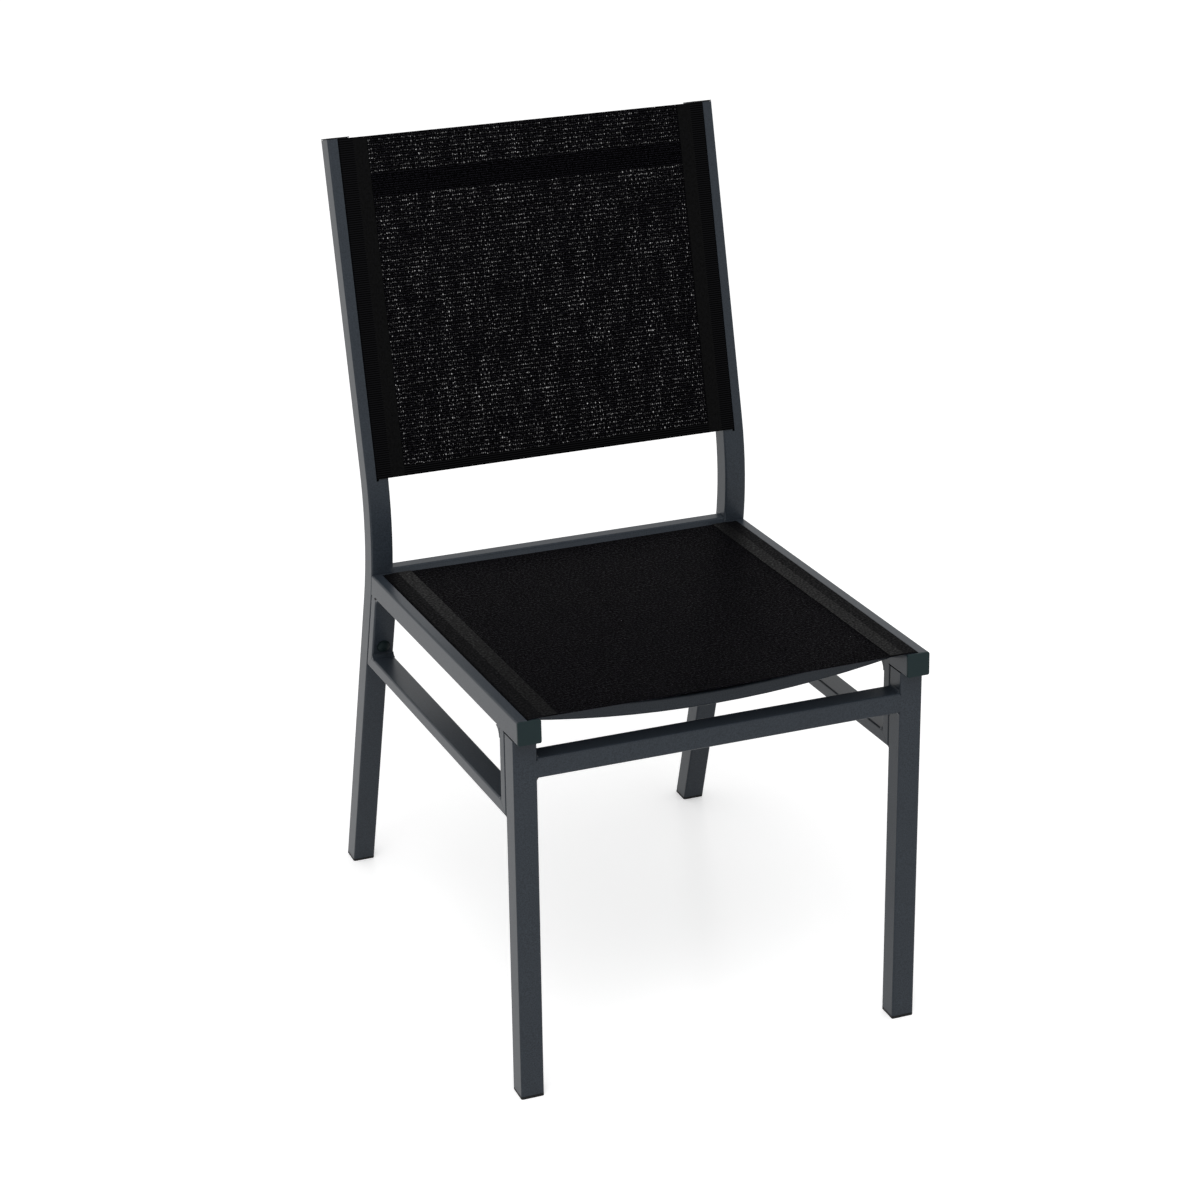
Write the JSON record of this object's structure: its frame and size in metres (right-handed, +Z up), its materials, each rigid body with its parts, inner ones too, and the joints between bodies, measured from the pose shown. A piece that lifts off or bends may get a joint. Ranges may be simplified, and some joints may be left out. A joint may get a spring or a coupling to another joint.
{
  "type": "sling patio chair",
  "caption": "Armless patio chair: dark powder-coated square aluminium tube frame with black mesh slings stretched across the seat and back.",
  "frame": {"origin": "centre of the footprint box, on the floor", "axes": "+Z up, the sitter faces -Y, +X is to a viewer's right who looks at the front"},
  "size_m": [0.466, 0.6184, 0.9064],
  "materials": {
    "powder_coat": "anthracite grey satin powder coat on aluminium tube",
    "cap_plastic": "dark green-black moulded polyethylene",
    "black_plastic": "black moulded polyethylene",
    "bolt_steel": "dark coated steel fastener",
    "sling_mesh": "black woven PVC-coated polyester mesh"
  },
  "bodies": {
    "root": {"rear_upright_left": "powder_coat", "rear_upright_right": "powder_coat", "front_leg_left": "powder_coat", "front_leg_right": "powder_coat", "seat_rail_left": "powder_coat", "seat_rail_right": "powder_coat", "ring_lower_bar_left": "powder_coat", "ring_lower_bar_right": "powder_coat", "ring_front_stub_left": "powder_coat", "ring_front_stub_right": "powder_coat", "ring_rear_stub_left": "powder_coat", "ring_rear_stub_right": "powder_coat", "rear_ring_bolt_left": "bolt_steel", "rear_ring_bolt_right": "bolt_steel", "front_ring_bolt_left": "bolt_steel", "front_ring_bolt_right": "bolt_steel", "rear_ring_nut_left": "bolt_steel", "rear_ring_nut_right": "bolt_steel", "front_ring_nut_left": "bolt_steel", "front_ring_nut_right": "bolt_steel", "rail_cap_left": "cap_plastic", "rail_cap_right": "cap_plastic", "upright_plug_left": "black_plastic", "upright_plug_right": "black_plastic", "rear_glide_left": "black_plastic", "rear_glide_right": "black_plastic", "front_glide_left": "black_plastic", "front_glide_right": "black_plastic", "seat_sling_rod_left": "sling_mesh", "seat_sling_rod_right": "sling_mesh", "back_sling_rod_left": "sling_mesh", "back_sling_rod_right": "sling_mesh", "front_stretcher": "powder_coat", "seat_spreader_bar": "powder_coat", "rear_seat_rail": "powder_coat", "back_cross_bar": "powder_coat", "seat_sling": "sling_mesh", "back_sling": "sling_mesh"}
  },
  "joints": []
}
